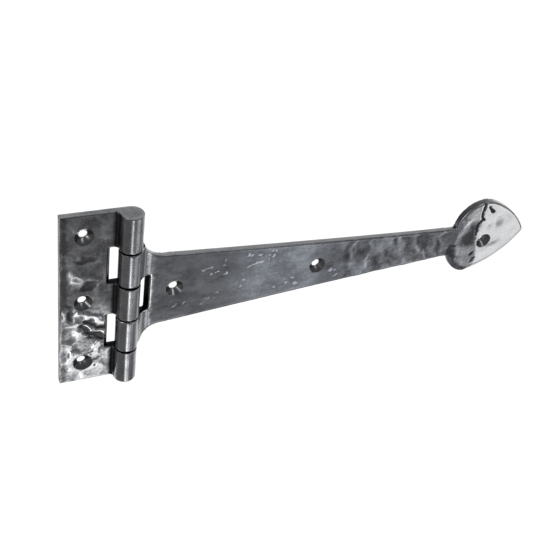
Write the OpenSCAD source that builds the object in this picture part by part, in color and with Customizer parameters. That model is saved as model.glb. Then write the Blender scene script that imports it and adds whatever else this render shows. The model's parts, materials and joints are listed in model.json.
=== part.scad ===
// Strap hinge with a square plate leaf and a tapered strap leaf that ends in a spear head.
// Frame: +X runs along the strap, +Z runs up the pin, and the flat backs lie in the plane Y = 0
// with the fronts facing -Y. The origin is the plate's middle screw hole on the mounting plane.

/* [Plate leaf] */
// Height of the plate leaf, and of all five knuckles together
plate_h = 102; // [90:1:130]
// Distance from the pin's axis to the free edge of the plate leaf
plate_reach = 33; // [29:0.5:50]
// Thickness of the plate leaf
plate_t = 3.5; // [3:0.1:4.5]
// Distance from the pin's axis to the edge of the cut-outs that the strap's knuckles turn in
plate_notch = 8.6; // [8:0.1:11]

/* [Knuckles and pin] */
// Outside diameter of the knuckles
barrel_d = 11.4; // [10.5:0.1:13]
// Diameter of the pin
pin_d = 6; // [4:0.1:7]
// Radial play of the pin in the strap's knuckles
pin_play = 0.05; // [0.02:0.01:0.1]
// Space between neighbouring knuckles
knuckle_gap = 0.8; // [0.2:0.1:1]
// Metal left over the blind end of the pin's hole
pin_cap = 2.5; // [1.5:0.1:5]
// Radius of the crease where the plate meets its knuckles
plate_crease_r = 2; // [1:0.1:3]
// Radius of the deeper web that joins the strap to its knuckles
strap_crease_r = 7; // [4:0.5:8]

/* [Strap leaf] */
// Distance from the pin's axis to the tip of the spear head
strap_reach = 241.5; // [230:0.5:300]
// Thickness of the strap
strap_t = 3.2; // [2.5:0.1:4]
// Width of the strap where the root's flare ends
strap_root_w = 43; // [38:0.5:48]
// Width of the strap at the neck
strap_neck_w = 18.4; // [14:0.2:24]
// How much faster the strap narrows near its root: 1 is a straight taper
strap_waist = 1.15; // [1:0.05:1.4]
// Radius of the flare between the strap and its outer knuckles
flare_r = 11; // [8:0.5:12]
// Distance from the pin's axis to the back edge of the cut-out round the middle knuckle
strap_notch = 9.4; // [9:0.1:11]
// Leg of the bevel along the front of that cut-out
strap_bevel = 2.6; // [1:0.1:3]
// How far the strap's middle line climbs above its screw holes by the time it reaches the neck
neck_lift = 1.2; // [0:0.1:2]

/* [Spear head] */
// Thickness of the head at its middle
head_t = 4.8; // [4:0.1:6]
// Width of the head across its shoulders
head_w = 48; // [42:1:56]
// How far the head's middle line stands above its screw hole
head_lift = 2.8; // [0:0.1:3]
// Angle by which the tip droops from the head's middle line
head_droop = 3.5; // [0:0.5:5]
// Distance from the widest part of the head to the tip
head_point = 34; // [32:1:42]
// Radius of the shoulders
shoulder_r = 17; // [15:0.5:19]
// Radius of the two flanks that meet at the tip
flank_r = 55; // [50:1:80]
// Radius of the head's domed front
dome_r = 500; // [300:10:600]

/* [Screw holes] */
// Diameter of the hole for the screw's shank
screw_d = 4.2; // [3.8:0.1:5]
// Diameter of the countersink's mouth
csk_d = 9.3; // [8:0.1:10]
// Spacing of the three holes in the plate leaf
plate_pitch = 39; // [34:0.5:42]
// Distance from the pin's axis to the plate's line of holes
plate_inset = 21.5; // [19:0.5:24]
// Distance from the pin's axis to the strap's first hole
strap_hole_1 = 24.8; // [22:0.1:40]
// Distance from the pin's axis to the strap's second hole
strap_hole_2 = 105; // [60:1:150]
// Distance from the head's widest part to its hole, towards the tip
head_hole = 4.5; // [-4:0.5:8]

/* [Hidden] */
$fn = 96;
eps = 0.01;
over = 1;
barrel_r = barrel_d / 2;
// The pin's axis: the knuckles touch the mounting plane
pin_x = plate_inset;
pin_y = -barrel_r;
// Five equal knuckles, numbered from 0 at the bottom: even ones belong to the plate
knuckles = 5;
knuckle_pitch = plate_h / knuckles;
knuckle_h = knuckle_pitch - knuckle_gap;
inner_h = 3 * knuckle_pitch - knuckle_gap;
notch_h = knuckle_pitch + knuckle_gap;
notch_r = 1;
plate_bevel = 2;
// The head: the widest line, the shoulder circles and the flank circles that touch them at the tip
head_x = pin_x + strap_reach - head_point;
shoulder_z = head_w / 2 - shoulder_r;
tip_to_shoulder = norm([head_point, shoulder_z]);
centre_gap = flank_r - shoulder_r;
along = (flank_r * flank_r - centre_gap * centre_gap + tip_to_shoulder * tip_to_shoulder)
    / (2 * tip_to_shoulder);
across = sqrt(flank_r * flank_r - along * along);
flank_x = head_x + head_point - (along * head_point + across * shoulder_z) / tip_to_shoulder;
flank_z = (along * shoulder_z - across * head_point) / tip_to_shoulder;
touch_x = head_x + (head_x - flank_x) * shoulder_r / centre_gap;
// How far the flanks reach into the shoulders past the touching point
flank_overlap = 0.4;
neck_x = head_x - shoulder_r - 1.5;
taper_x = pin_x + 18.5;
taper_steps = 16;
csk_h = (csk_d - screw_d) / 2;
pin_lead = 0.6;

// Middle height of a knuckle
function knuckle_z(i) = (i - (knuckles - 1) / 2) * knuckle_pitch;

// Half width of the strap at a share of the way from its root (0) to its neck (1)
function strap_half(s) =
    (strap_neck_w + (strap_root_w - strap_neck_w) * pow(1 - s, strap_waist)) / 2;

// A leaf's cross-section by the pin: knuckle, slab and the crease between them, drawn for a slab
// that runs towards +X from the pin's axis and is t thick
module leaf_section(t, reach, crease_r) {
    crease_x = sqrt(pow(barrel_r + crease_r, 2) - pow(barrel_r - t - crease_r, 2));
    translate([0, -barrel_r]) circle(r = barrel_r);
    translate([0, -t]) square([reach, t]);
    difference() {
        polygon([[0, -barrel_r], [crease_x, -t - crease_r], [crease_x, -t + eps], [0, -t + eps]]);
        translate([crease_x, -t - crease_r]) circle(r = crease_r);
    }
}

// A cut that reaches past the pin's axis, with rounded inner corners, in the XZ plane
module notch_outline(depth) {
    translate([-barrel_d, -notch_h / 2]) square([barrel_d + depth - notch_r, notch_h]);
    translate([0, -notch_h / 2 + notch_r]) square([depth, notch_h - 2 * notch_r]);
    for (side = [-1, 1])
        translate([depth - notch_r, side * (notch_h / 2 - notch_r)]) circle(r = notch_r);
}

// Cuts a bevel with two equal legs along the front edge of a cut-out
module notch_bevel(leg) {
    translate([0, 0, -notch_h / 2]) linear_extrude(notch_h) rotate(45)
        square(leg * sqrt(2), center = true);
}

// Turns a drawing in X and Z into a slab that stands t in front of the mounting plane
module slab(t) {
    rotate([90, 0, 0]) linear_extrude(t) children();
}

// Clearance hole with a 90 degree countersink in a face that stands t in front of Y = 0
module screw_hole(x, z, t) {
    translate([x, 0, z]) rotate([90, 0, 0]) {
        translate([0, 0, -over]) cylinder(d = screw_d, h = t + over);
        translate([0, 0, t - csk_h])
            cylinder(d1 = screw_d, d2 = csk_d + 2 * over, h = csk_h + over);
    }
}

module pin_bore(r, z, h) {
    translate([pin_x, pin_y, z]) cylinder(r = r, h = h);
}

module plate_leaf() color("dimgray") difference() {
    translate([pin_x, 0, -plate_h / 2]) mirror([1, 0, 0])
        linear_extrude(plate_h) leaf_section(plate_t, plate_reach, plate_crease_r);
    for (i = [1, 3]) {
        translate([pin_x, over, knuckle_z(i)]) mirror([1, 0, 0])
            slab(barrel_d + 2 * over) notch_outline(plate_notch);
        translate([pin_x - plate_notch, -plate_t, knuckle_z(i)]) notch_bevel(plate_bevel);
    }
    pin_bore(pin_d / 2, -plate_h / 2 - over, plate_h - pin_cap + over);
    for (i = [-1:1]) screw_hole(0, i * plate_pitch, plate_t);
}

// Strap from the pin's axis to the neck: outer knuckles' height, flare, then the taper
module strap_outline() {
    steps = [for (i = [0:taper_steps]) i / taper_steps];
    top = [for (s = steps) [taper_x + (neck_x - taper_x) * s, neck_lift * s + strap_half(s)]];
    foot = [for (s = steps) [taper_x + (neck_x - taper_x) * s, neck_lift * s - strap_half(s)]];
    difference() {
        translate([pin_x, -inner_h / 2]) square([taper_x - pin_x, inner_h]);
        for (side = [-1, 1])
            translate([taper_x, side * (strap_root_w / 2 + flare_r)]) circle(r = flare_r);
    }
    polygon(concat(top, [for (i = [taper_steps:-1:0]) foot[i]]));
}

// Spear head: two round shoulders and two flanks that run into them and meet at the tip,
// drawn on their own middle line, lifted and turned, with a stub that runs on into the neck
module head_outline() {
    translate([head_x, head_lift]) rotate(-head_droop) translate([-head_x, 0]) {
        intersection() {
            translate([flank_x, flank_z]) circle(r = flank_r, $fn = 256);
            translate([flank_x, -flank_z]) circle(r = flank_r, $fn = 256);
            translate([touch_x - flank_overlap, -head_w]) square([head_w * 2, head_w * 2]);
        }
        for (side = [-1, 1]) translate([head_x, side * shoulder_z]) circle(r = shoulder_r);
        translate([head_x, -shoulder_z]) square([touch_x - head_x + eps, 2 * shoulder_z]);
    }
    translate([neck_x - eps, neck_lift - strap_neck_w / 2])
        square([head_x - neck_x, strap_neck_w]);
}

module strap_leaf() color("slategray") difference() {
    union() {
        translate([pin_x, 0, -inner_h / 2])
            linear_extrude(inner_h) leaf_section(strap_t, barrel_d + over, strap_crease_r);
        slab(strap_t) strap_outline();
        intersection() {
            slab(head_t) head_outline();
            translate([head_x, dome_r - head_t, head_lift]) sphere(r = dome_r, $fn = 256);
        }
    }
    // The flare also trims the ends of the slab that carries the knuckles
    translate([0, over, 0]) slab(barrel_d + 2 * over) for (side = [-1, 1])
        translate([taper_x, side * (strap_root_w / 2 + flare_r)]) circle(r = flare_r);
    translate([pin_x, over, 0]) slab(barrel_d + 2 * over) notch_outline(strap_notch);
    translate([pin_x + strap_notch, -strap_t, 0]) notch_bevel(strap_bevel);
    pin_bore(pin_d / 2 + pin_play, -plate_h / 2, plate_h);
    screw_hole(pin_x + strap_hole_1, 0, strap_t);
    screw_hole(pin_x + strap_hole_2, 0, strap_t);
    screw_hole(head_x + head_hole, 0, head_t);
}

// Pin driven up from below into a blind hole, with its lower end ground flush
module hinge_pin() color("silver") translate([pin_x, pin_y, -plate_h / 2]) {
    cylinder(d = pin_d, h = plate_h - pin_cap - knuckle_gap - pin_lead);
    translate([0, 0, plate_h - pin_cap - knuckle_gap - pin_lead])
        cylinder(d1 = pin_d, d2 = pin_d - 2 * pin_lead, h = pin_lead);
}

plate_leaf();
strap_leaf();
hinge_pin();
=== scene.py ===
"""Strap hinge: a hammered plate leaf, a long tapered strap leaf with a spear head, and the pin.

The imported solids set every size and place. Each leaf starts as a plain blank, is softened and
hammered all over, and is drilled last, so that the screw holes and the pin's hole stay crisp.
"""

import json
import logging
import math
import random
from dataclasses import dataclass, field
from enum import Enum

import bpy
import numpy as np
from mathutils import Matrix, Vector, noise


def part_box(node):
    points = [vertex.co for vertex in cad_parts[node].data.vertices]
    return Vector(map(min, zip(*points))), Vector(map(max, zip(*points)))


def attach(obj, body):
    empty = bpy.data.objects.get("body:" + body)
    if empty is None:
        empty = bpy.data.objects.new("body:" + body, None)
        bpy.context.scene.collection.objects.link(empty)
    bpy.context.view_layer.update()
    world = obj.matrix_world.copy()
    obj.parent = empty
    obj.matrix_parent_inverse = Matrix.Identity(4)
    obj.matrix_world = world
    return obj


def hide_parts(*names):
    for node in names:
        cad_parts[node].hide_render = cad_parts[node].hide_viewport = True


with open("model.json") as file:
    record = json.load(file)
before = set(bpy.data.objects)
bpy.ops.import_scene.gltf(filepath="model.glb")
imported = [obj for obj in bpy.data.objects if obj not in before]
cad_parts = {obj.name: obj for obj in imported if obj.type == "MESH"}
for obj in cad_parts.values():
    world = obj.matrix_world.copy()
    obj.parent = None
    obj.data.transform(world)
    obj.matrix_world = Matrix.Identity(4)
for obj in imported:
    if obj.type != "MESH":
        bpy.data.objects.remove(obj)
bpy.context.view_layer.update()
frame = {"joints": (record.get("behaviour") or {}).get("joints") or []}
LOG = logging.getLogger("strap_hinge")
MM = 0.001
# Fixes the noise that hammer marks wander by. Zero would take the clock's time instead.
NOISE_SEED = 9
# The screw holes: the plate's spacing, and the strap's distances from the pin's axis
PLATE_PITCH = 39 * MM
STRAP_HOLES = (24.8 * MM, 105 * MM, 212 * MM)
# The height that a relief note of 1 stands for, and how far out a well-rubbed edge stands
FULL_RELIEF = 0.5 * MM
FULL_STAND = 0.02 * MM


class Side(Enum):
    """Which way a leaf runs from the pin's axis."""

    PLATE = -1.0
    STRAP = 1.0


# ---------------------------------------------------------------------------------------------
# Bench tools
# ---------------------------------------------------------------------------------------------


def clear_selection() -> None:
    """Deselects every object, because an operator acts on all that is selected."""
    bpy.ops.object.select_all(action="DESELECT")


def pick(piece: bpy.types.Object) -> None:
    """Makes one piece the only selected and active object."""
    clear_selection()
    piece.select_set(True)
    bpy.context.view_layer.objects.active = piece


def seat(piece: bpy.types.Object) -> None:
    """Moves a piece's place into its mesh, so that its object sits at the origin."""
    pick(piece)
    bpy.ops.object.transform_apply(location=True, rotation=True, scale=True)


def block(low: Vector, high: Vector) -> bpy.types.Object:
    """Makes a box blank.

    Args:
        low: Its lowest corner, in metres.
        high: Its highest corner, in metres.

    Returns:
        The new object, with its place in its mesh.
    """
    clear_selection()
    bpy.ops.mesh.primitive_cube_add(size=1, location=(low + high) / 2, scale=high - low)
    piece = bpy.context.active_object
    seat(piece)
    return piece


def bar(radius: float, low: Vector, high: Vector, sides: int = 96) -> bpy.types.Object:
    """Makes a round bar between two points that lie along one axis.

    Args:
        radius: The bar's radius, in metres.
        low: The centre of its first end.
        high: The centre of its other end.
        sides: How many flats go round it.

    Returns:
        The new object, with its place in its mesh.
    """
    clear_selection()
    along = high - low
    turn = along.to_track_quat("Z", "Y").to_euler()
    bpy.ops.mesh.primitive_cylinder_add(
        vertices=sides, radius=radius, depth=along.length, location=(low + high) / 2, rotation=turn
    )
    piece = bpy.context.active_object
    seat(piece)
    return piece


def turned(profile: list[tuple[float, float]], foot: Vector, axis: Vector,
           steps: int = 96) -> bpy.types.Object:
    """Turns a closed solid by spinning a profile round an axis.

    Args:
        profile: Radius and height of each corner, from the axis at the foot to the axis at the top.
        foot: The point on the axis that heights are measured from.
        axis: The direction of growing height.
        steps: How many steps the spin takes.

    Returns:
        The new object, with its place in its mesh.
    """
    mesh = bpy.data.meshes.new("turned")
    piece = bpy.data.objects.new("turned", mesh)
    bpy.context.scene.collection.objects.link(piece)
    points = [(radius, 0.0, height) for radius, height in profile]
    mesh.from_pydata(points, [(i, i + 1) for i in range(len(points) - 1)], [])
    pick(piece)
    bpy.ops.object.mode_set(mode="EDIT")
    bpy.ops.mesh.select_all(action="SELECT")
    bpy.ops.mesh.spin(steps=steps, angle=math.tau, center=(0, 0, 0), axis=(0, 0, 1))
    bpy.ops.mesh.select_all(action="SELECT")
    bpy.ops.mesh.remove_doubles(threshold=1e-7)
    bpy.ops.mesh.normals_make_consistent(inside=False)
    bpy.ops.object.mode_set(mode="OBJECT")
    piece.rotation_euler = axis.to_track_quat("Z", "Y").to_euler()
    piece.location = foot
    seat(piece)
    return piece


def combine(piece: bpy.types.Object, tool: bpy.types.Object, operation: str) -> None:
    """Joins, cuts or trims a piece with a tool, which is used up.

    Args:
        piece: The piece that stays.
        tool: The solid that shapes it.
        operation: UNION, DIFFERENCE or INTERSECT.
    """
    pick(piece)
    step = piece.modifiers.new(operation.lower(), "BOOLEAN")
    step.operation = operation
    step.solver = "MANIFOLD"
    step.object = tool
    bpy.ops.object.modifier_apply(modifier=step.name)
    bpy.data.objects.remove(tool, do_unlink=True)


def soften(piece: bpy.types.Object, grain: float, passes: int) -> None:
    """Gives a blank an even, dense skin and rounds its edges, as tumbling does.

    Args:
        piece: The blank.
        grain: The size of the skin's faces, in metres.
        passes: How many smoothing passes follow.
    """
    pick(piece)
    skin = piece.modifiers.new("skin", "REMESH")
    skin.mode = "VOXEL"
    skin.voxel_size = grain
    skin.adaptivity = 0.0
    skin.use_smooth_shade = True
    bpy.ops.object.modifier_apply(modifier=skin.name)
    ease = piece.modifiers.new("ease", "SMOOTH")
    ease.factor = 0.5
    ease.iterations = passes
    bpy.ops.object.modifier_apply(modifier=ease.name)


def finish_shading(piece: bpy.types.Object, degrees: float) -> None:
    """Smooths a piece's shading except along edges sharper than an angle in degrees."""
    pick(piece)
    bpy.ops.object.shade_smooth_by_angle(angle=math.radians(degrees))


def points_of(piece: bpy.types.Object) -> tuple[np.ndarray, np.ndarray]:
    """Reads a piece's points and their normals as two arrays of one row a point."""
    mesh = piece.data
    points = np.empty(len(mesh.vertices) * 3)
    normals = np.empty(len(mesh.vertices) * 3)
    mesh.vertices.foreach_get("co", points)
    mesh.vertices.foreach_get("normal", normals)
    return points.reshape(-1, 3), normals.reshape(-1, 3)


def move_points(piece: bpy.types.Object, points: np.ndarray) -> None:
    """Writes a piece's points back after they were moved."""
    piece.data.vertices.foreach_set("co", points.reshape(-1))
    piece.data.update()


def step_up(value: np.ndarray, low: float, high: float) -> np.ndarray:
    """Smooth rise from 0 at low to 1 at high."""
    share = np.clip((value - low) / (high - low), 0.0, 1.0)
    return share * share * (3.0 - 2.0 * share)


# ---------------------------------------------------------------------------------------------
# Hammer work
# ---------------------------------------------------------------------------------------------


@dataclass(frozen=True)
class Blow:
    """One mark on a front face, in millimetres: an oval hollow, or a lump if its depth is negative.

    Tone paints the mark brighter (up to 1) or darker (down to -1): partly metal rubbed bright and
    patina left dark, partly painted highlight and shade on its relief.
    """

    x: float
    z: float
    length: float
    width: float
    depth: float
    turn: float = 0.0
    tone: float = 0.0

    def cover(self, points: np.ndarray) -> np.ndarray:
        """How strongly the mark covers each point, from 0 outside it to 1 at its middle."""
        c, s = math.cos(math.radians(self.turn)), math.sin(math.radians(self.turn))
        dx, dz = points[:, 0] - self.x * MM, points[:, 2] - self.z * MM
        along = (dx * c + dz * s) / (self.length * MM / 2)
        across = (dz * c - dx * s) / (self.width * MM / 2)
        return np.clip(1.0 - along**2 - across**2, 0.0, None) ** 2


@dataclass(frozen=True)
class Trail:
    """A groove, or a ridge if its depth is negative, along a line of points in millimetres."""

    line: tuple[tuple[float, float], ...]
    width: float
    depth: float
    tone: float = 0.0

    def cover(self, points: np.ndarray) -> np.ndarray:
        """How strongly the trail covers each point, from 0 beside it to 1 on its line."""
        best = np.full(len(points), np.inf)
        place = points[:, (0, 2)]
        for start, end in zip(self.line, self.line[1:]):
            a, b = np.array(start) * MM, np.array(end) * MM
            share = np.clip((place - a) @ (b - a) / ((b - a) @ (b - a)), 0.0, 1.0)
            gap = place - a - share[:, None] * (b - a)
            best = np.minimum(best, np.hypot(gap[:, 0], gap[:, 1]))
        return np.clip(1.0 - (best / (self.width * MM / 2)) ** 2, 0.0, None) ** 2


Mark = Blow | Trail


def scatter(count: int, start: tuple[float, float], end: tuple[float, float], spread: float,
            size: float, depth: float, tone: float, seed: int) -> list[Mark]:
    """Strews small oval marks beside a straight line, as scale and slag fall on a hot bar.

    Args:
        count: How many marks.
        start: The line's first end, in millimetres along X and Z.
        end: Its other end.
        spread: How far a mark may lie from the line, in millimetres.
        size: The middling length of a mark, in millimetres.
        depth: How deep each one goes; below zero it stands up.
        tone: How bright or dark each one is.
        seed: Picks one strewing out of many.
    """
    dice = random.Random(seed)
    marks = []
    for _ in range(count):
        share, off = dice.random(), dice.gauss(0.0, 0.5) * spread
        length = size * dice.uniform(0.5, 1.6)
        marks.append(Blow(
            start[0] + (end[0] - start[0]) * share, start[1] + (end[1] - start[1]) * share + off,
            length, length * dice.uniform(0.35, 0.8), depth, dice.uniform(-20, 50),
            tone * dice.uniform(0.4, 1.2)))
    return marks


@dataclass(frozen=True)
class Hammer:
    """How a surface is beaten, in metres: broad waves, hollows, fine pits, and ripples across X.

    The ripples run from ripple_start to ripple_end, and wander is how far a mark's outline strays.
    """

    wave: float = 0.2 * MM
    wave_size: float = 15 * MM
    hollow: float = 0.2 * MM
    hollow_size: float = 8 * MM
    pit: float = 0.05 * MM
    pit_size: float = 1.7 * MM
    ripple: float = 0.0
    ripple_start: float = 0.0
    ripple_end: float = 0.0
    wander: float = 0.9 * MM
    seed: float = 0.0

    def strike(self, points: np.ndarray) -> tuple[np.ndarray, np.ndarray]:
        """Works out the beaten surface.

        Args:
            points: The plain surface's points, one a row.

        Returns:
            Its height over the plain surface at each point, and how far each point's place
            wanders when a mark is laid over it, so that no mark has a clean outline.
        """
        shift = Vector((self.seed, self.seed * 1.7, self.seed * 0.6))
        height = np.empty(len(points))
        stray = np.empty((len(points), 3))
        for i, point in enumerate(points):
            p = Vector(point)
            wave = noise.noise(p / self.wave_size + shift)
            drift = noise.noise_vector(p / (self.hollow_size * 0.8) + shift)
            near = noise.voronoi((p + drift * self.hollow_size * 0.4) / self.hollow_size + shift)[0]
            eased = -math.log(sum(math.exp(-7.0 * gap) for gap in near)) / 7.0
            hollow = min(max(eased, 0.0) ** 2 * 2.0, 1.0) - 0.3
            fine = noise.noise(p / self.pit_size + shift) * 0.6 + noise.noise(
                p / (self.pit_size * 0.45) + shift) * 0.4
            across = Vector((p.x / (5 * MM) + 0.25 * p.z / (5 * MM), 0.0, p.z / (16 * MM)))
            fold = noise.noise(across + drift * 0.6 + shift)
            height[i] = self.wave * wave + self.hollow * hollow + self.pit * fine
            share = min(p.x - self.ripple_start, self.ripple_end - p.x) / (15 * MM)
            height[i] += self.ripple * min(max(share, 0.0), 1.0) * fold
            fray = noise.noise_vector(p / (self.wander * 2.5) + shift)
            stray[i] = (drift + fray * 0.8) * self.wander
        return height, stray


def bulge(piece: bpy.types.Object, passes: int) -> np.ndarray:
    """How far each point stands out from those around it, in metres: positive along edges.

    Args:
        piece: A piece with an even, dense skin.
        passes: How many times the result is spread over the points around each one.
    """
    mesh = piece.data
    ends = np.empty(len(mesh.edges) * 2, dtype=np.int64)
    mesh.edges.foreach_get("vertices", ends)
    first, second = ends.reshape(-1, 2).T
    count = np.bincount(ends, minlength=len(mesh.vertices)).astype(float)

    def around(values: np.ndarray) -> np.ndarray:
        """Average over the points next to each one."""
        total = np.bincount(first, values[second], len(count))
        total += np.bincount(second, values[first], len(count))
        return total / count

    points, normals = points_of(piece)
    middle = np.stack([around(points[:, axis]) for axis in range(3)], axis=1)
    out = np.einsum("ij,ij->i", points - middle, normals)
    for _ in range(passes):
        out = 0.5 * out + 0.5 * around(out)
    return out


def note(piece: bpy.types.Object, name: str, values: np.ndarray) -> None:
    """Keeps one number a point on the piece, under a name that the finish reads."""
    kept = piece.data.attributes.get(name) or piece.data.attributes.new(name, "FLOAT", "POINT")
    kept.data.foreach_set("value", values.astype(np.float32))


def noted(piece: bpy.types.Object, name: str) -> np.ndarray:
    """Reads back the numbers that note() kept."""
    values = np.empty(len(piece.data.vertices), dtype=np.float32)
    piece.data.attributes[name].data.foreach_get("value", values)
    return values.astype(float)


def beat(piece: bpy.types.Object, hammer: Hammer, marks: list[Mark], strength: np.ndarray,
         near_front: np.ndarray, painted_shade: np.ndarray) -> None:
    """Hammers a softened blank and keeps what its patina needs.

    Args:
        piece: The blank, with a dense skin.
        hammer: The overall character of the surface.
        marks: Single marks on the front face.
        strength: For each point, how much of the hammering reaches it.
        near_front: For each point, how much it belongs to the front face, from 0 to 1.
        painted_shade: For each point, how much painted shade darkens it, from 0 to 1.
    """
    points, normals = points_of(piece)
    height, stray = hammer.strike(points)
    height *= strength
    tone = np.zeros(len(points))
    wandered = points + stray
    for mark in marks:
        cover = mark.cover(wandered) * near_front
        height -= mark.depth * MM * cover
        tone += mark.tone * cover
    move_points(piece, points + normals * height[:, None])
    # Edges that stand out are toned lighter and hollows darker; deep creases also get painted shade.
    stand = bulge(piece, 3) / FULL_STAND
    note(piece, "relief", height / FULL_RELIEF)
    note(piece, "tone", tone + np.clip(stand, -0.9, 0.3))
    note(piece, "painted_shade", np.clip(painted_shade + np.clip(-stand - 0.6, 0.0, 0.5), 0.0, 1.0))


# ---------------------------------------------------------------------------------------------
# Finishes
# ---------------------------------------------------------------------------------------------


@dataclass(frozen=True)
class Pewter:
    """Dressed iron under a waxed pewter patina: bright where rubbed or where a highlight is painted,
    dark in the hollows, with painted shade blended over it in creases, gaps and holes.
    """

    name: str
    dark: tuple[float, float, float] = (0.1, 0.1, 0.105)
    mid: tuple[float, float, float] = (0.34, 0.345, 0.36)
    rubbed: tuple[float, float, float] = (0.72, 0.725, 0.735)
    smooth: float = 0.16
    rough: float = 0.4
    mottle: float = 0.55
    cloud_size: float = 7 * MM
    grain_size: float = 1.1 * MM
    bite: float = 0.08
    bite_depth: float = 0.15 * MM
    stretch: tuple[float, float, float] = (1.0, 1.0, 1.0)
    speckle: float = 0.16
    relief_share: float = 0.2
    tone_share: float = 0.3
    dark_at: float = 0.22
    mid_at: float = 0.5
    rubbed_at: float = 0.8
    rough_at: float = 0.3
    smooth_at: float = 0.7
    # Near-black colour of the painted shade in recesses, creases, gaps and holes.
    painted_shade: tuple[float, float, float] = (0.012, 0.012, 0.013)

    def material(self) -> bpy.types.Material:
        """Builds the node material."""
        mat = bpy.data.materials.new(self.name)
        mat.use_nodes = True
        nodes, links = mat.node_tree.nodes, mat.node_tree.links
        nodes.clear()
        out = nodes.new("ShaderNodeOutputMaterial")
        shader = nodes.new("ShaderNodeBsdfPrincipled")
        shader.inputs["Metallic"].default_value = 1.0
        links.new(shader.outputs[0], out.inputs[0])
        place = nodes.new("ShaderNodeTexCoord")
        spread = nodes.new("ShaderNodeMapping")
        spread.inputs["Scale"].default_value = self.stretch
        links.new(place.outputs["Object"], spread.inputs[0])

        def math_node(kind: str, a: bpy.types.NodeSocket, b: bpy.types.NodeSocket | float,
                      c: float = 0.0) -> bpy.types.NodeSocket:
            """Adds one sum and returns its result."""
            node = nodes.new("ShaderNodeMath")
            node.operation = kind
            links.new(a, node.inputs[0])
            if isinstance(b, float):
                node.inputs[1].default_value = b
            else:
                links.new(b, node.inputs[1])
            node.inputs[2].default_value = c
            return node.outputs[0]

        def grain(size: float, detail: float, rough: float) -> bpy.types.NodeSocket:
            """Adds a noise whose features are about size across."""
            node = nodes.new("ShaderNodeTexNoise")
            node.inputs["Scale"].default_value = 1.0 / size
            node.inputs["Detail"].default_value = detail
            node.inputs["Roughness"].default_value = rough
            links.new(spread.outputs[0], node.inputs[0])
            return node.outputs[0]

        def kept(name: str) -> bpy.types.NodeSocket:
            """Reads one of the numbers kept on the piece."""
            node = nodes.new("ShaderNodeAttribute")
            node.attribute_name = name
            return node.outputs["Fac"]

        cloud = math_node("MULTIPLY_ADD", grain(self.cloud_size, 9.0, 0.65), self.mottle,
                          0.5 - self.mottle / 2)
        speck = math_node("MULTIPLY_ADD", grain(self.grain_size, 3.0, 0.6), self.speckle,
                          -self.speckle / 2)
        lifted = math_node("MULTIPLY_ADD", kept("relief"), self.relief_share)
        toned = math_node("MULTIPLY_ADD", kept("tone"), self.tone_share)
        value = math_node("ADD", math_node("ADD", cloud, speck), math_node("ADD", lifted, toned))
        tone = nodes.new("ShaderNodeValToRGB")
        tone.color_ramp.elements[0].position = self.dark_at
        tone.color_ramp.elements[0].color = (*self.dark, 1)
        tone.color_ramp.elements[1].position = self.rubbed_at
        tone.color_ramp.elements[1].color = (*self.rubbed, 1)
        middle = tone.color_ramp.elements.new(self.mid_at)
        middle.color = (*self.mid, 1)
        links.new(value, tone.inputs[0])
        # Blends painted shade over the tone wherever the piece's painted shade number is set.
        shade_mix = nodes.new("ShaderNodeMix")
        shade_mix.data_type = "RGBA"
        shade_mix.inputs["B"].default_value = (*self.painted_shade, 1)
        links.new(kept("painted_shade"), shade_mix.inputs["Factor"])
        links.new(tone.outputs[0], shade_mix.inputs["A"])
        links.new(shade_mix.outputs["Result"], shader.inputs["Base Color"])

        dull = nodes.new("ShaderNodeMapRange")
        dull.inputs["From Min"].default_value = self.rough_at
        dull.inputs["From Max"].default_value = self.smooth_at
        dull.inputs["To Min"].default_value = self.rough
        dull.inputs["To Max"].default_value = self.smooth
        links.new(value, dull.inputs[0])
        links.new(dull.outputs[0], shader.inputs["Roughness"])

        bump = nodes.new("ShaderNodeBump")
        bump.inputs["Strength"].default_value = self.bite
        bump.inputs["Distance"].default_value = self.bite_depth
        links.new(grain(self.grain_size, 6.0, 0.6), bump.inputs["Height"])
        links.new(bump.outputs[0], shader.inputs["Normal"])
        return mat


# ---------------------------------------------------------------------------------------------
# Hinge parts
# ---------------------------------------------------------------------------------------------


@dataclass(frozen=True)
class Knuckles:
    """The barrel that both leaves share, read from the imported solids."""

    axis_x: float
    axis_y: float
    radius: float
    height: float
    pin_radius: float
    count: int = 5
    gap: float = 0.8 * MM
    play: float = 0.05 * MM
    cap: float = 2.5 * MM

    @classmethod
    def from_frame(cls) -> "Knuckles":
        """Reads the pin's axis from the joint and the sizes from the nodes' boxes."""
        joint = frame["joints"][0]["pos_m"]
        low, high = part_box("plate_leaf")
        pin_low, pin_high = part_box("hinge_pin")
        return cls(axis_x=joint[0], axis_y=joint[1], radius=-joint[1], height=high[2] - low[2],
                   pin_radius=(pin_high[0] - pin_low[0]) / 2)

    @property
    def pitch(self) -> float:
        """Distance from one knuckle's middle to the next."""
        return self.height / self.count

    def middle(self, index: int) -> float:
        """Height of a knuckle's middle, counted from 0 at the bottom."""
        return (index - (self.count - 1) / 2) * self.pitch

    def reach(self, points: np.ndarray) -> np.ndarray:
        """Distance of each point from the pin's axis."""
        return np.hypot(points[:, 0] - self.axis_x, points[:, 1] - self.axis_y)

    def joint_shade(self, points: np.ndarray, normals: np.ndarray) -> np.ndarray:
        """How much painted shade darkens each point on the knuckles' inner ends, in the gaps between
        them.
        """
        ends = step_up(np.abs(normals[:, 2]), 0.5, 0.9)
        near = 1.0 - step_up(self.reach(points), self.radius + 2 * MM, self.radius + 6 * MM)
        inner = 1.0 - step_up(np.abs(points[:, 2]), self.height / 2 - 2 * MM,
                              self.height / 2 - 1 * MM)
        return ends * near * inner


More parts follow.
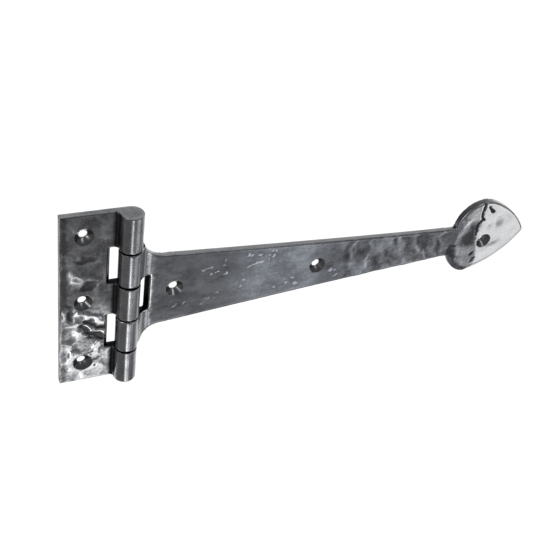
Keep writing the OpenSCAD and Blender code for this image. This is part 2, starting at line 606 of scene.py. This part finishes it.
@dataclass
class Leaf:
    """What both leaves have in common: a slab, its share of the knuckles and its holes."""

    knuckles: Knuckles
    side: Side
    holes: list[tuple[float, float]] = field(default_factory=list)
    thickness: float = 3.5 * MM
    notch: float = 8.6 * MM
    bevel: float = 2.0 * MM
    crease: float = 2.0 * MM
    grain: float = 0.42 * MM
    soft_passes: int = 4
    shank: float = 2.1 * MM
    mouth: float = 4.65 * MM
    lip: float = 0.4 * MM
    cone_tone: float = 0.4
    # Painted shade in the countersinks, the screw holes and the pin's bore.
    cone_shade: float = 0.55
    shank_shade: float = 0.35
    pin_hole_shade: float = 0.95

    def out_from_pin(self, points: np.ndarray) -> np.ndarray:
        """How far each point lies from the pin's axis along this leaf."""
        return (points[:, 0] - self.knuckles.axis_x) * self.side.value

    def span(self, near: float, far: float, y0: float, y1: float, z0: float,
             z1: float) -> bpy.types.Object:
        """Makes a block whose X runs from near to far out from the pin's axis on this side."""
        a = self.knuckles.axis_x + self.side.value * near
        b = self.knuckles.axis_x + self.side.value * far
        return block(Vector((min(a, b), y0, z0)), Vector((max(a, b), y1, z1)))

    def barrel(self, z0: float, z1: float) -> bpy.types.Object:
        """Makes the knuckle stock between two heights, with the crease that joins it to the slab."""
        k = self.knuckles
        stock = bar(k.radius, Vector((k.axis_x, k.axis_y, z0)), Vector((k.axis_x, k.axis_y, z1)))
        drop = k.radius - self.thickness - self.crease
        reach = math.sqrt((k.radius + self.crease) ** 2 - drop**2)
        touch = k.radius / (k.radius + self.crease)
        touch_x, touch_y = reach * touch, -k.radius + drop * touch
        web = self.span(0, reach, touch_y, -self.thickness * 0.4, z0, z1)
        over = 1 * MM
        centre = Vector((k.axis_x + self.side.value * reach, -self.thickness - self.crease, 0))
        combine(web, bar(self.crease, centre + Vector((0, 0, z0 - over)),
                         centre + Vector((0, 0, z1 + over)), 192), "DIFFERENCE")
        combine(web, self.span(touch_x * 0.5, reach * 2, -k.radius * 3, touch_y - 0.01 * MM,
                               z0 - over, z1 + over), "DIFFERENCE")
        combine(stock, web, "UNION")
        return stock

    def cut_notch(self, piece: bpy.types.Object, z: float) -> None:
        """Cuts the room for one of the other leaf's knuckles, bevelled along its front."""
        k = self.knuckles
        room = k.pitch / 2 + k.gap / 2
        combine(piece, self.span(-k.radius * 1.5, self.notch, -k.radius * 3, 1 * MM,
                                 z - room, z + room), "DIFFERENCE")
        corner = Vector((k.axis_x + self.side.value * self.notch, -self.thickness, z))
        size = Vector((self.bevel * math.sqrt(2), self.bevel * math.sqrt(2), 2 * room))
        clear_selection()
        bpy.ops.mesh.primitive_cube_add(size=1, location=corner, scale=size,
                                        rotation=(0, 0, math.radians(45)))
        cutter = bpy.context.active_object
        seat(cutter)
        combine(piece, cutter, "DIFFERENCE")

    def notch_shade(self, points: np.ndarray, normals: np.ndarray, z: float) -> np.ndarray:
        """How much painted shade darkens each point on the walls of one cut-out."""
        room = (self.knuckles.pitch + self.knuckles.gap) / 2
        out = self.out_from_pin(points)
        beside = 1.0 - step_up(np.abs(points[:, 2] - z), room + 0.3 * MM, room + 1.2 * MM)
        near = 1.0 - step_up(out, self.notch + self.bevel, self.notch + self.bevel + 0.8 * MM)
        wall = step_up(np.abs(normals[:, 0]) + np.abs(normals[:, 2]), 0.45, 0.75)
        return beside * near * wall * step_up(out, self.knuckles.radius, self.knuckles.radius + MM)

    def drill(self, piece: bpy.types.Object, x: float, z: float, front: float) -> None:
        """Cuts a countersunk screw hole, with the light burr ring that the tool leaves.

        Args:
            piece: The leaf.
            x: The hole's place along X.
            z: The hole's height.
            front: How far the front face stands from the mounting plane.
        """
        depth = self.mouth - self.shank
        over = 2 * MM
        profile = [(0.0, -over), (self.shank, -over), (self.shank, front - depth),
                   (self.mouth, front), (self.mouth + self.lip, front + self.lip * 0.35),
                   (self.mouth + self.lip + over, front + over), (0.0, front + over)]
        combine(piece, turned(profile, Vector((x, 0, z)), Vector((0, -1, 0))), "DIFFERENCE")

    def bore(self, piece: bpy.types.Object, radius: float, top: float) -> None:
        """Cuts the pin's hole from below up to a height."""
        k = self.knuckles
        low = Vector((k.axis_x, k.axis_y, -k.height / 2 - 1 * MM))
        combine(piece, bar(radius, low, Vector((k.axis_x, k.axis_y, top)), 64), "DIFFERENCE")

    def dress_holes(self, piece: bpy.types.Object) -> None:
        """Gives the countersinks a smooth, lighter finish under painted shade, and paints shade down
        the screw holes and the pin's bore.
        """
        points, normals = points_of(piece)
        relief, tone, painted_shade = (noted(piece, name) for name in ("relief", "tone", "painted_shade"))
        for x, z in self.holes:
            reach = np.hypot(points[:, 0] - x, points[:, 2] - z)
            cone = (reach < self.mouth + 0.05 * MM) & (points[:, 1] < -0.2 * MM)
            relief[cone], tone[cone], painted_shade[cone] = 0.0, self.cone_tone, self.cone_shade
            painted_shade[reach < self.shank + 0.05 * MM] = self.shank_shade
        k = self.knuckles
        inside = k.reach(points) < k.pin_radius + 0.3 * MM
        painted_shade[inside & (points[:, 2] < k.height / 2 - 0.5 * MM)] = self.pin_hole_shade
        for name, values in (("relief", relief), ("tone", tone), ("painted_shade", painted_shade)):
            note(piece, name, values)


@dataclass
class PlateLeaf(Leaf):
    """The square leaf that is screwed to the post."""

    # The front is painted lighter below and darker above, as painted reflection and shade; it is also
    # darker along the left margin.
    lower_painted_highlight: float = 0.4
    upper_painted_shade: float = -0.6
    margin_tone: float = -0.6
    hammer: Hammer = Hammer(seed=3.1, wave=0.24 * MM, hollow=0.3 * MM, wander=1.5 * MM)

    def marks(self) -> list[Mark]:
        """The marks that stand out on the plate, from its top to its bottom."""
        lump = [
            Blow(0, 26, 13, 6, 0.22, 0, -0.4),
            Blow(-3, 16, 17, 14, -0.5, -10, 0.2),
            Blow(-3, 15, 8, 5, 0.18, -10, -0.4),
            Blow(2, 10, 12, 7, 0.4, 20, -0.5),
        ]
        rolls = [
            Blow(-6, -8, 5, 11, 0.4, 0, -0.8),
            Blow(-9, -4, 4, 14, -0.3, 0, 0.3),
            Blow(-2, -7, 5, 5, -0.4, 0, 0.6),
            Trail(((1, -8), (10, -13)), 5, -0.26, 0.5),
            Trail(((1, -12), (10, -17)), 4, 0.35, -1.0),
            Trail(((3, -15), (10, -20)), 6, -0.34, 0.5),
            Trail(((-1, -15), (9, -24)), 6, 0.45, -1.0),
        ]
        low = [Blow(-5, -32, 11, 5, -0.25, 0, 0.4), Blow(8, -30, 6, 12, -0.25, 0, 0.4)]
        pits = scatter(9, (4, -20), (6, -48), 5.0, 3.0, 0.18, -0.7, seed=14)
        return lump + rolls + low + pits

    def build(self) -> bpy.types.Object:
        """Makes, hammers and drills the leaf."""
        k = self.knuckles
        low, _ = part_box("plate_leaf")
        half = k.height / 2
        piece = self.span(0, k.axis_x - low[0], -self.thickness, 0, -half, half)
        combine(piece, self.barrel(-half, half), "UNION")
        for index in (1, 3):
            self.cut_notch(piece, k.middle(index))
        soften(piece, self.grain, self.soft_passes)

        points, normals = points_of(piece)
        front = step_up(-normals[:, 1], 0.7, 0.97) * step_up(-points[:, 1], 1.5 * MM, 2.8 * MM)
        slab = step_up(k.reach(points), k.radius + 0.6 * MM, k.radius + 4 * MM)
        rough = 0.6 + 0.75 * (1.0 - step_up(points[:, 2], -14 * MM, 6 * MM))
        strength = 0.06 + (0.08 + 0.92 * front) * slab * rough
        # Painted shade in the gaps between knuckles and on the cut-outs' walls.
        painted_shade = k.joint_shade(points, normals)
        for index in (1, 3):
            painted_shade = np.maximum(painted_shade, self.notch_shade(points, normals, k.middle(index)))
        out = self.out_from_pin(points)
        # A band of painted shade down the crease where the plate meets its knuckles.
        crease = np.exp(-(((out - 6.9 * MM) / (1.1 * MM)) ** 2)) * step_up(-normals[:, 1], -0.1, 0.2)
        painted_shade = np.maximum(painted_shade, 0.85 * crease * step_up(-points[:, 1], 3.2 * MM, 3.5 * MM))
        beat(piece, self.hammer, self.marks(), strength, front * slab, painted_shade)
        points, _ = points_of(piece)
        # Painted reflection on the lower front and painted shade on the upper front; darker along the
        # left margin.
        lower = 1.0 - step_up(points[:, 2], -16 * MM, 4 * MM)
        margin = 1.0 - step_up(points[:, 0], -9.6 * MM, -7.4 * MM)
        zone = front * slab * (self.lower_painted_highlight * lower + self.upper_painted_shade * (1 - lower)
                               + self.margin_tone * margin)
        note(piece, "tone", noted(piece, "tone") + zone)
        for x, z in self.holes:
            self.drill(piece, x, z, self.thickness)
        self.bore(piece, k.pin_radius, k.height / 2 - k.cap)
        self.dress_holes(piece)
        piece.name = piece.data.name = "plate_leaf_forged"
        finish_shading(piece, 38)
        return piece


@dataclass
class StrapLeaf(Leaf):
    """The long leaf that is screwed to the door."""

    root_half: float = 21.5 * MM
    neck_half: float = 9.2 * MM
    waist: float = 1.15
    flare: float = 11 * MM
    taper_start: float = 18.5 * MM
    neck_lift: float = 1.2 * MM
    head_lift: float = 2.8 * MM
    head_droop: float = 3.5
    head_thickness: float = 4.8 * MM
    head_half: float = 24 * MM
    head_point: float = 34 * MM
    shoulder: float = 17 * MM
    flank: float = 55 * MM
    dome: float = 500 * MM
    chamfer: float = 4.2 * MM
    chamfer_slope: float = 24.0
    # A painted highlight on the web by the knuckles and on the head; darker at the root, the neck and
    # the side faces between neck and head.
    web_highlight_tone: float = 1.1
    root_tone: float = -0.4
    neck_tone: float = -0.42
    head_highlight_tone: float = 0.78
    side_tone: float = -0.9
    hammer: Hammer = Hammer(seed=8.4, wave=0.16 * MM, wave_size=22 * MM, hollow=0.13 * MM,
                            hollow_size=9 * MM, pit=0.03 * MM, ripple=0.2 * MM,
                            ripple_start=135 * MM, ripple_end=216 * MM)

    @property
    def taper_x(self) -> float:
        """Where the flare ends and the strap begins to narrow."""
        return self.knuckles.axis_x + self.taper_start

    @property
    def tip_x(self) -> float:
        """Where the tip of the head lies."""
        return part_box("strap_leaf")[1][0]

    @property
    def head_x(self) -> float:
        """Where the head is widest."""
        return self.tip_x - self.head_point * math.cos(math.radians(self.head_droop))

    @property
    def neck_x(self) -> float:
        """Where the strap meets the head."""
        return self.head_x - self.shoulder - 1.5 * MM

    @property
    def flank_centre(self) -> tuple[float, float]:
        """Centre of the flank that bounds the head's upper side, from the head's middle line."""
        rise = self.head_half - self.shoulder
        span = math.hypot(self.head_point, rise)
        gap = self.flank - self.shoulder
        along = (self.flank**2 - gap**2 + span**2) / (2 * span)
        across = math.sqrt(self.flank**2 - along**2)
        return (self.head_x + self.head_point - (along * self.head_point + across * rise) / span,
                (along * rise - across * self.head_point) / span)

    def head_place(self, points: np.ndarray) -> tuple[np.ndarray, np.ndarray]:
        """Each point's place along and across the head's own middle line, from its widest."""
        turn = math.radians(self.head_droop)
        x, z = points[:, 0] - self.head_x, points[:, 2] - self.head_lift
        return x * math.cos(turn) - z * math.sin(turn), x * math.sin(turn) + z * math.cos(turn)

    def half_width(self, share: np.ndarray) -> np.ndarray:
        """Half the strap's width at each share of the way from its root (0) to its neck (1)."""
        return self.neck_half + (self.root_half - self.neck_half) * np.clip(
            1 - share, 0, 1) ** self.waist

    def strap_blank(self) -> bpy.types.Object:
        """Makes the tapered strap: a block narrowed by moving the points of its cross cuts."""
        x0 = self.taper_x
        piece = block(Vector((x0, -self.thickness, -1)), Vector((self.neck_x + 3 * MM, 0, 1)))
        pick(piece)
        bpy.ops.object.mode_set(mode="EDIT")
        cuts = 16
        for i in range(1, cuts + 1):
            bpy.ops.mesh.select_all(action="SELECT")
            bpy.ops.mesh.bisect(plane_co=(x0 + (self.neck_x - x0) * i / cuts, 0, 0),
                                plane_no=(1, 0, 0))
        bpy.ops.object.mode_set(mode="OBJECT")
        points, _ = points_of(piece)
        share = np.clip((points[:, 0] - x0) / (self.neck_x - x0), 0, 1)
        half = self.half_width(share)
        points[:, 2] = self.neck_lift * share + np.sign(points[:, 2]) * half
        move_points(piece, points)
        return piece

    def head_blank(self) -> bpy.types.Object:
        """Makes the spear head: two flanks that meet at the tip, over two round shoulders."""
        rise = self.head_half - self.shoulder
        flank_x, flank_z = self.flank_centre
        touch_x = self.head_x + (self.head_x - flank_x) * self.shoulder / (self.flank - self.shoulder)
        thick, over = self.thickness, 1 * MM

        def disc(x: float, z: float, radius: float, sides: int) -> bpy.types.Object:
            """One round slab of the head."""
            return bar(radius, Vector((x, -thick, z)), Vector((x, 0, z)), sides)

        piece = disc(flank_x, flank_z, self.flank, 360)
        combine(piece, disc(flank_x, -flank_z, self.flank, 360), "INTERSECT")
        combine(piece, block(Vector((touch_x - 0.4 * MM, -thick - over, -self.head_half * 2)),
                             Vector((self.head_x * 2, over, self.head_half * 2))), "INTERSECT")
        for side in (-1, 1):
            combine(piece, disc(self.head_x, side * rise, self.shoulder, 128), "UNION")
        combine(piece, block(Vector((self.head_x - 0.1 * MM, -thick, -rise)),
                             Vector((touch_x + 0.1 * MM, 0, rise))), "UNION")
        middle = Vector((self.head_x, 0, 0))
        droop = Matrix.Rotation(math.radians(self.head_droop), 4, "Y")
        piece.matrix_world = (Matrix.Translation(middle + Vector((0, 0, self.head_lift))) @ droop
                              @ Matrix.Translation(-middle))
        seat(piece)
        combine(piece, block(
            Vector((self.neck_x - 0.5 * MM, -thick, self.neck_lift - self.neck_half)),
            Vector((self.head_x, 0, self.neck_lift + self.neck_half))), "UNION")
        return piece

    def blank(self) -> bpy.types.Object:
        """Makes the plain leaf with its two knuckles, flared root, strap and head."""
        k = self.knuckles
        inner = 1.5 * k.pitch - k.gap / 2
        piece = self.barrel(-inner, inner)
        combine(piece, self.span(0, self.taper_start, -self.thickness, 0, -inner, inner), "UNION")
        centre_x = self.taper_x
        for side in (-1, 1):
            z = side * (self.root_half + self.flare)
            combine(piece, bar(self.flare, Vector((centre_x, -k.radius * 3, z)),
                               Vector((centre_x, 1 * MM, z))), "DIFFERENCE")
        combine(piece, self.strap_blank(), "UNION")
        combine(piece, self.head_blank(), "UNION")
        self.cut_notch(piece, 0.0)
        return piece

    def true_edges(self, piece: bpy.types.Object) -> None:
        """Draws the strap's long edges straight, keeping how round they are across."""
        points, normals = points_of(piece)
        x0 = self.taper_x
        share = (points[:, 0] - x0) / (self.neck_x - x0)
        half = self.half_width(share)
        lift = self.neck_lift * share
        side = np.sign(points[:, 2] - lift)
        inset = half - np.abs(points[:, 2] - lift)
        edge = (share > 0.03) & (share < 0.97) & (inset < 1.2 * MM) & (np.abs(normals[:, 2]) > 0.25)
        layers = 17
        steps = np.linspace(-self.thickness, 0, layers)
        nearest = np.argmin(np.abs(points[edge, 1][:, None] - steps), axis=1)
        count = np.maximum(np.bincount(nearest, minlength=layers), 1)
        usual = np.bincount(nearest, inset[edge], layers) / count
        points[edge, 2] = (lift + side * (half - np.interp(points[:, 1], steps, usual)))[edge]
        move_points(piece, points)

    def swell_head(self, piece: bpy.types.Object) -> None:
        """Draws the head out thicker than the strap, domed, with a chamfer under its lower flank."""
        points, _ = points_of(piece)
        x, z = self.head_place(points)
        dome = self.head_thickness - (x**2 + z**2) / (2 * self.dome)
        share = step_up(points[:, 0], self.neck_x - 3 * MM, self.neck_x + 7 * MM)
        thick = self.thickness + (dome - self.thickness) * share
        flank_x, flank_z = self.flank_centre
        edge = self.flank - np.hypot(x + self.head_x - flank_x, z + flank_z)
        worn = np.clip(self.chamfer - edge, 0.0, None) * math.tan(
            math.radians(self.chamfer_slope))
        thick -= worn * step_up(x, -4 * MM, 4 * MM)
        points[:, 1] *= thick / self.thickness
        move_points(piece, points)

    def marks(self) -> list[Mark]:
        """The marks that stand out on the strap, from its root to its neck, and on the head."""
        flecks = (scatter(22, (58, 7), (104, 14), 5.0, 2.2, -0.07, 1.9, seed=3)
                  + scatter(9, (44, -12), (84, -5), 4.0, 3.2, -0.06, 1.2, seed=11)
                  + scatter(8, (96, -9), (140, -5), 4.0, 3.0, -0.05, 1.1, seed=2))
        smears = [Trail(((60, 9), (65, 9)), 2, -0.05, 1.4), Trail(((85, 7), (93, 9)), 2, -0.07, 1.8)]
        cracks = [
            Trail(((227, 27), (227, 18), (229, 15)), 1.9, 0.45, -2.4),
            Trail(((228, 16), (226, 12), (227, 6)), 2.3, 0.35, -1.6),
            Trail(((231, 24), (234, 20)), 2.2, 0.4, -2.2),
        ]
        hollows = [
            Blow(222, 2, 17, 15, 0.2, -15, -0.8), Blow(224, 9, 10, 16, 0.12, -20, -0.75),
            Blow(227, -8, 4, 4, 0.25, 0, -1.2), Blow(230, -13, 5, 6, 0.2, 20, -1.0),
            Blow(218, 14, 8, 8, -0.15, 0, 0.5), Blow(241, 12, 8, 12, 0.08, 25, -0.5),
            Blow(240, -3, 16, 6, 0.05, 25, -0.45), Blow(235, 10, 6, 9, 0.06, 0, -0.35),
        ]
        return flecks + smears + cracks + hollows

    def head_highlight(self, points: np.ndarray) -> np.ndarray:
        """Where a highlight is painted on the head: past a leaning line by its hole, and along its
        top.
        """
        parting = self.holes[-1][0] - 5.2 * MM - 0.17 * points[:, 2]
        past = step_up(points[:, 0] - parting, -0.4 * MM, 0.8 * MM)
        top = step_up(points[:, 2], 14 * MM, 17 * MM) * 0.6
        return np.maximum(past, top * (points[:, 0] > self.neck_x))

    def tone_zones(self, points: np.ndarray) -> np.ndarray:
        """Broad patches painted brighter and darker along the leaf: a painted highlight on the web by
        the knuckles and on the head, darker at the root, at the neck and along the rim of the head's
        lower shoulder.
        """
        x = points[:, 0]
        web = 1.0 - step_up(x, 33.2 * MM, 35 * MM)
        root = step_up(x, 34 * MM, 36 * MM) * (1.0 - step_up(x, 50 * MM, 95 * MM))
        neck = step_up(x, 120 * MM, 135 * MM) * (1.0 - step_up(x, 205 * MM, 213 * MM))
        along, across = self.head_place(points)
        rise = self.head_half - self.shoulder
        lobe = np.hypot(along, across + rise)
        under = step_up(lobe, self.shoulder - 4.5 * MM, self.shoulder - 2.5 * MM)
        under *= 1.0 - step_up(lobe, self.shoulder + 0.5 * MM, self.shoulder + 2 * MM)
        under *= (across < -rise + 3 * MM) * (along < 0) * (x > self.neck_x)
        return (self.web_highlight_tone * web + self.root_tone * root + self.neck_tone * neck
                + self.head_highlight_tone * self.head_highlight(points) - under)

    def build(self) -> bpy.types.Object:
        """Makes, hammers and drills the leaf."""
        k = self.knuckles
        piece = self.blank()
        soften(piece, self.grain, self.soft_passes)
        self.true_edges(piece)
        self.swell_head(piece)
        points, normals = points_of(piece)
        front = step_up(-normals[:, 1], 0.3, 0.8) * step_up(-points[:, 1], 1.2 * MM, 2.4 * MM)
        slab = step_up(k.reach(points), k.radius + 0.4 * MM, k.radius + 3 * MM)
        x = points[:, 0]
        rough = 0.45 + 0.9 * step_up(x, 125 * MM, 150 * MM) + 0.3 * (1 - step_up(x, 45 * MM, 75 * MM))
        rough *= 1.0 - 0.7 * self.head_highlight(points)
        strength = 0.05 + (0.12 + 0.88 * front) * slab * rough
        # Painted shade in the knuckle gaps and the cut-out.
        painted_shade = np.maximum(k.joint_shade(points, normals), self.notch_shade(points, normals, 0.0))
        # A band of painted shade down the knuckles' left-facing side, standing in for the dark that
        # they reflect.
        round_pin = np.degrees(np.arctan2(self.out_from_pin(points), k.axis_y - points[:, 1]))
        facing = (1 - step_up(round_pin, -88.0, -68.0)) * step_up(round_pin, -150.0, -115.0)
        painted_shade = np.maximum(painted_shade, 0.95 * facing * (1 - slab))
        beat(piece, self.hammer, self.marks(), strength, front * slab, painted_shade)
        points, normals = points_of(piece)
        _, stray = self.hammer.strike(points)
        zones = self.tone_zones(points + 1.6 * stray) * front * slab
        side = (1 - step_up(np.abs(normals[:, 1]), 0.3, 0.7)) * step_up(
            points[:, 0], self.neck_x, self.neck_x + 3 * MM)
        side *= 1 - step_up(points[:, 0], self.head_x - 4 * MM, self.head_x + 6 * MM)
        note(piece, "tone", noted(piece, "tone") + zones + self.side_tone * side)
        for (hole_x, z), front_y in zip(self.holes, (self.thickness,) * 2 + (self.head_thickness,)):
            self.drill(piece, hole_x, z, front_y)
        self.bore(piece, k.pin_radius + k.play, k.height / 2)
        self.dress_holes(piece)
        piece.name = piece.data.name = "strap_leaf_forged"
        finish_shading(piece, 38)
        return piece


@dataclass
class Pin:
    """The pin, driven up from below, with its ends eased and its lower end faced in a lathe."""

    knuckles: Knuckles
    ease: float = 0.35 * MM
    lead: float = 0.6 * MM
    centre_mark: float = 0.7 * MM

    def build(self) -> bpy.types.Object:
        """Turns the pin."""
        k = self.knuckles
        low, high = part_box("hinge_pin")
        length, radius = high[2] - low[2], k.pin_radius
        ring = 0.12 * MM
        profile = [(0.0, self.centre_mark), (self.centre_mark, 0.0), (radius * 0.5, 0.0),
                   (radius * 0.54, ring), (radius * 0.58, 0.0), (radius - self.ease, 0.0),
                   (radius, self.ease), (radius, length / 2), (radius, length - self.lead),
                   (radius - self.lead, length), (0.0, length)]
        piece = turned(profile, Vector((k.axis_x, k.axis_y, low[2])), Vector((0, 0, 1)), 64)
        piece.name = piece.data.name = "hinge_pin_turned"
        finish_shading(piece, 30)
        return piece


@dataclass(frozen=True)
class Softbox:
    """A soft light that faces the middle of the hinge; glow is its surface brightness."""

    place: tuple[float, float, float]
    width: float
    height: float
    glow: float
    tint: tuple[float, float, float] = (1.0, 1.0, 1.0)


SOFTBOXES = {
    "under the plate": Softbox((0.18, -0.75, -0.9), 0.42, 0.4, 1.1),
    "for the head": Softbox((0.92, -0.62, -0.52), 0.34, 0.42, 0.86),
    "cool, for mid-strap": Softbox((0.57, -0.7, -0.6), 0.28, 0.3, 0.62, (0.84, 0.9, 1.0)),
    "strip, for the knuckles": Softbox((-0.05, -0.8, -0.6), 0.16, 0.6, 2.0),
    "behind, to the left": Softbox((-0.64, 0.47, -0.6), 0.3, 0.8, 1.1),
    "front left": Softbox((-0.9, -0.5, 0.5), 0.5, 0.9, 2.0),
    "front right": Softbox((0.5, -0.7, 0.85), 0.45, 0.35, 1.3),
}


@dataclass
class Studio:
    """Camera, floor and light. The object stands clear of the floor, as it is held by its plate."""

    camera_place: Vector = Vector((-0.0922, -0.3427, 0.2935))
    azimuth: float = -29.75
    elevation: float = 37.07
    roll: float = 9.88
    lens: float = 61.2
    floor_drop: float = 0.6
    room_glow: float = 0.2
    backdrop: float = 1.1

    def camera(self) -> None:
        """Adds the camera."""
        clear_selection()
        bpy.ops.object.camera_add(location=self.camera_place)
        camera = bpy.context.active_object
        camera.data.lens = self.lens
        camera.data.sensor_width = 36.0
        camera.data.clip_start = 0.01
        a, e = math.radians(self.azimuth), math.radians(self.elevation)
        back = Vector((math.sin(a) * math.cos(e), -math.cos(a) * math.cos(e), math.sin(e)))
        level = (-back).to_track_quat("-Z", "Y").to_matrix().to_4x4()
        tilt = Matrix.Rotation(math.radians(self.roll), 4, "Z")
        camera.matrix_world = Matrix.Translation(self.camera_place) @ level @ tilt
        bpy.context.scene.camera = camera

    def floor(self) -> None:
        """Adds a wide pale floor."""
        clear_selection()
        bpy.ops.mesh.primitive_plane_add(size=30, location=(0, 0, -self.floor_drop))
        floor = bpy.context.active_object
        floor.name = "floor"
        mat = bpy.data.materials.new("pale_floor")
        mat.use_nodes = True
        shader = mat.node_tree.nodes["Principled BSDF"]
        shader.inputs["Base Color"].default_value = (0.9, 0.9, 0.9, 1)
        shader.inputs["Roughness"].default_value = 0.9
        shader.inputs["Emission Color"].default_value = (1, 1, 1, 1)
        shader.inputs["Emission Strength"].default_value = 0.8
        floor.data.materials.append(mat)
        floor.visible_glossy = False

    def softbox(self, box: Softbox) -> None:
        """Adds one soft light, aimed at the middle of the hinge."""
        clear_selection()
        aim = Vector((0.11, 0, 0))
        here = Vector(box.place)
        bpy.ops.object.light_add(type="AREA", location=here)
        lamp = bpy.context.active_object
        lamp.rotation_euler = (aim - here).to_track_quat("-Z", "Y").to_euler()
        lamp.data.shape = "RECTANGLE"
        lamp.data.size, lamp.data.size_y = box.width, box.height
        lamp.data.energy = box.glow * math.pi * box.width * box.height
        lamp.data.color = box.tint
        lamp.visible_camera = False

    def surround(self) -> None:
        """A soft room: dim in front of the hinge, pale behind it, but for its left and its top."""
        world = bpy.data.worlds.new("room")
        bpy.context.scene.world = world
        world.use_nodes = True
        nodes, links = world.node_tree.nodes, world.node_tree.links
        nodes.clear()
        out = nodes.new("ShaderNodeOutputWorld")
        place = nodes.new("ShaderNodeTexCoord")
        part = nodes.new("ShaderNodeSeparateXYZ")
        links.new(place.outputs["Generated"], part.inputs[0])

        def ramp(axis: str, start: float, end: float, low: float, high: float) -> bpy.types.Node:
            """A brightness that changes smoothly along one axis."""
            node = nodes.new("ShaderNodeMapRange")
            node.interpolation_type = "SMOOTHSTEP"
            for name, value in (("From Min", start), ("From Max", end), ("To Min", low),
                                ("To Max", high)):
                node.inputs[name].default_value = value
            links.new(part.outputs[axis], node.inputs[0])
            return node

        depth = ramp("Y", -0.3, 0.35, 0.0, 0.95)
        left = ramp("X", -0.42, 0.1, 0.12, 1.0)
        top = ramp("Z", -0.15, 0.45, 1.0, 0.4)
        total = depth.outputs[0]
        for share in (left, top):
            both = nodes.new("ShaderNodeMath")
            both.operation = "MULTIPLY"
            links.new(total, both.inputs[0])
            links.new(share.outputs[0], both.inputs[1])
            total = both.outputs[0]
        base = nodes.new("ShaderNodeMath")
        base.inputs[1].default_value = self.room_glow
        links.new(total, base.inputs[0])
        room = nodes.new("ShaderNodeBackground")
        links.new(base.outputs[0], room.inputs["Strength"])
        white = nodes.new("ShaderNodeBackground")
        white.inputs["Strength"].default_value = self.backdrop
        path = nodes.new("ShaderNodeLightPath")
        mix = nodes.new("ShaderNodeMixShader")
        links.new(path.outputs["Is Camera Ray"], mix.inputs[0])
        links.new(room.outputs[0], mix.inputs[1])
        links.new(white.outputs[0], mix.inputs[2])
        links.new(mix.outputs[0], out.inputs[0])

    def build(self) -> None:
        """Sets up the whole stage."""
        self.camera()
        self.floor()
        self.surround()
        for box in SOFTBOXES.values():
            self.softbox(box)
        bpy.context.scene.view_settings.view_transform = "Standard"


def hang(piece: bpy.types.Object, body: str, node: str,
         mat: bpy.types.Material) -> None:
    """Dresses a finished piece and puts it in place of its CAD node.

    Args:
        piece: The finished piece.
        body: The body it moves with.
        node: The CAD node it stands for.
        mat: Its finish.
    """
    piece.data.materials.clear()
    piece.data.materials.append(mat)
    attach(piece, body)
    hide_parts(node)
    LOG.info("%s: %d faces", piece.name, len(piece.data.polygons))


def main() -> None:
    """Builds the stage, the two leaves and the pin."""
    logging.basicConfig(level=logging.INFO, format="%(name)s: %(message)s")
    noise.seed_set(NOISE_SEED)
    Studio().build()
    knuckles = Knuckles.from_frame()
    axis_x = knuckles.axis_x
    plate = PlateLeaf(knuckles, Side.PLATE, [(0.0, z) for z in (-PLATE_PITCH, 0.0, PLATE_PITCH)])
    hang(plate.build(), "plate", "plate_leaf", Pewter("plate_patina").material())
    strap = StrapLeaf(knuckles, Side.STRAP, [(axis_x + x, 0.0) for x in STRAP_HOLES],
                      thickness=3.2 * MM, notch=9.4 * MM, bevel=2.6 * MM, crease=7 * MM,
                      grain=0.46 * MM)
    hang(strap.build(), "strap", "strap_leaf",
         Pewter("strap_patina", mid=(0.37, 0.377, 0.4), mottle=0.46,
                stretch=(0.5, 1.0, 1.0)).material())
    hang(Pin(knuckles).build(), "plate", "hinge_pin",
         Pewter("ground_steel", mid=(0.45, 0.45, 0.46), mottle=0.2, cloud_size=2 * MM,
                grain_size=0.4 * MM, rough=0.3, smooth=0.22, bite=0.15).material())


if __name__ == "__main__":
    main()
